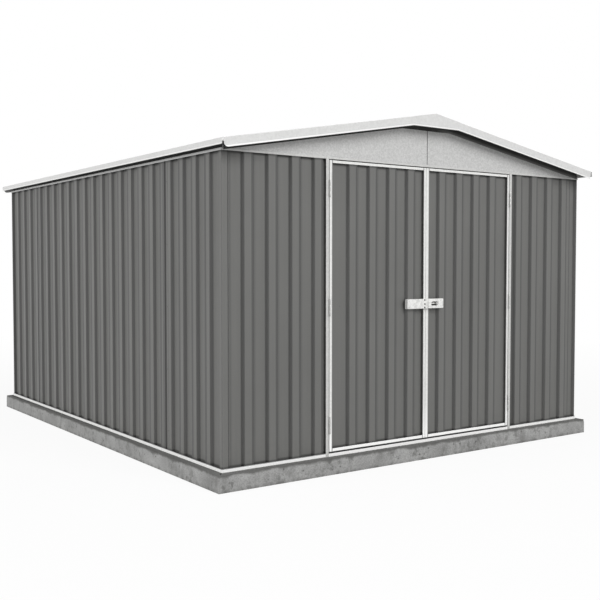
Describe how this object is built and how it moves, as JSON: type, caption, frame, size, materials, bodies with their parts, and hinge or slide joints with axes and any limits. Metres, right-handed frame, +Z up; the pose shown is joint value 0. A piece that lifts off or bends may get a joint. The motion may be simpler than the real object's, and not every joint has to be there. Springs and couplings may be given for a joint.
{
  "type": "metal tool shed",
  "caption": "Gable-roofed ribbed sheet-metal garden tool shed on a concrete slab, with outward-opening double doors and a sliding bolt latch.",
  "frame": {"origin": "bottom centre of the slab, where the shed stands on the ground", "axes": "+Z up, -Y the front with the doors, +X to the right when looking at the front"},
  "size_m": [3.1566, 3.8246, 2.216],
  "materials": {
    "concrete": "matte",
    "wall_sheet": "satin",
    "zinc_trim": "satin",
    "galvanised_sheet": "satin",
    "hardware": "satin"
  },
  "bodies": {
    "shed": {"concrete_slab": "concrete", "left_front_corner_sheet": "wall_sheet", "left_wall_sheet": "wall_sheet", "left_rear_corner_sheet": "wall_sheet", "right_front_corner_sheet": "wall_sheet", "right_wall_sheet": "wall_sheet", "right_rear_corner_sheet": "wall_sheet", "back_wall_sheet": "wall_sheet", "front_left_sheet": "wall_sheet", "front_right_sheet": "wall_sheet", "left_base_channel": "zinc_trim", "right_base_channel": "zinc_trim", "back_base_channel": "zinc_trim", "front_base_channels": "zinc_trim", "door_threshold": "zinc_trim", "left_top_channel": "zinc_trim", "right_top_channel": "zinc_trim", "back_top_channel": "zinc_trim", "front_top_channel": "zinc_trim", "left_jamb": "zinc_trim", "right_jamb": "zinc_trim", "ridge_cap": "zinc_trim", "eave_trims": "zinc_trim", "front_barge_caps": "zinc_trim", "rear_barge_caps": "zinc_trim", "front_apex_cap": "zinc_trim", "rear_apex_cap": "zinc_trim", "front_gable_sheets": "galvanised_sheet", "rear_gable_sheets": "galvanised_sheet", "eave_rails": "galvanised_sheet", "ridge_beam": "galvanised_sheet", "left_roof_sheet": "galvanised_sheet", "right_roof_sheet": "galvanised_sheet", "jamb_hinges": "hardware"},
    "left_door": {"left_door_sheet": "wall_sheet", "left_door_stiles": "zinc_trim", "left_door_rails": "zinc_trim", "left_door_hinges": "hardware", "left_latch_cover": "hardware"},
    "right_door": {"right_door_sheet": "wall_sheet", "right_door_stiles": "zinc_trim", "right_door_rails": "zinc_trim", "right_door_hinges": "hardware", "right_latch_cover": "hardware"},
    "bolt": {"slide_bolt": "hardware"}
  },
  "joints": [
    {"name": "left_door_hinge", "type": "hinge", "parent": "shed", "child": "left_door", "pos_m": [-0.7855, -1.8277, 0.995], "axis": [0, 0, -1], "range_deg": [0, 150]},
    {"name": "right_door_hinge", "type": "hinge", "parent": "shed", "child": "right_door", "pos_m": [0.7855, -1.8277, 0.995], "axis": [0, 0, 1], "range_deg": [0, 150]},
    {"name": "bolt_slide", "type": "slide", "parent": "right_door", "child": "bolt", "axis": [-1, 0, 0], "range_m": [0, 0.03]}
  ]
}
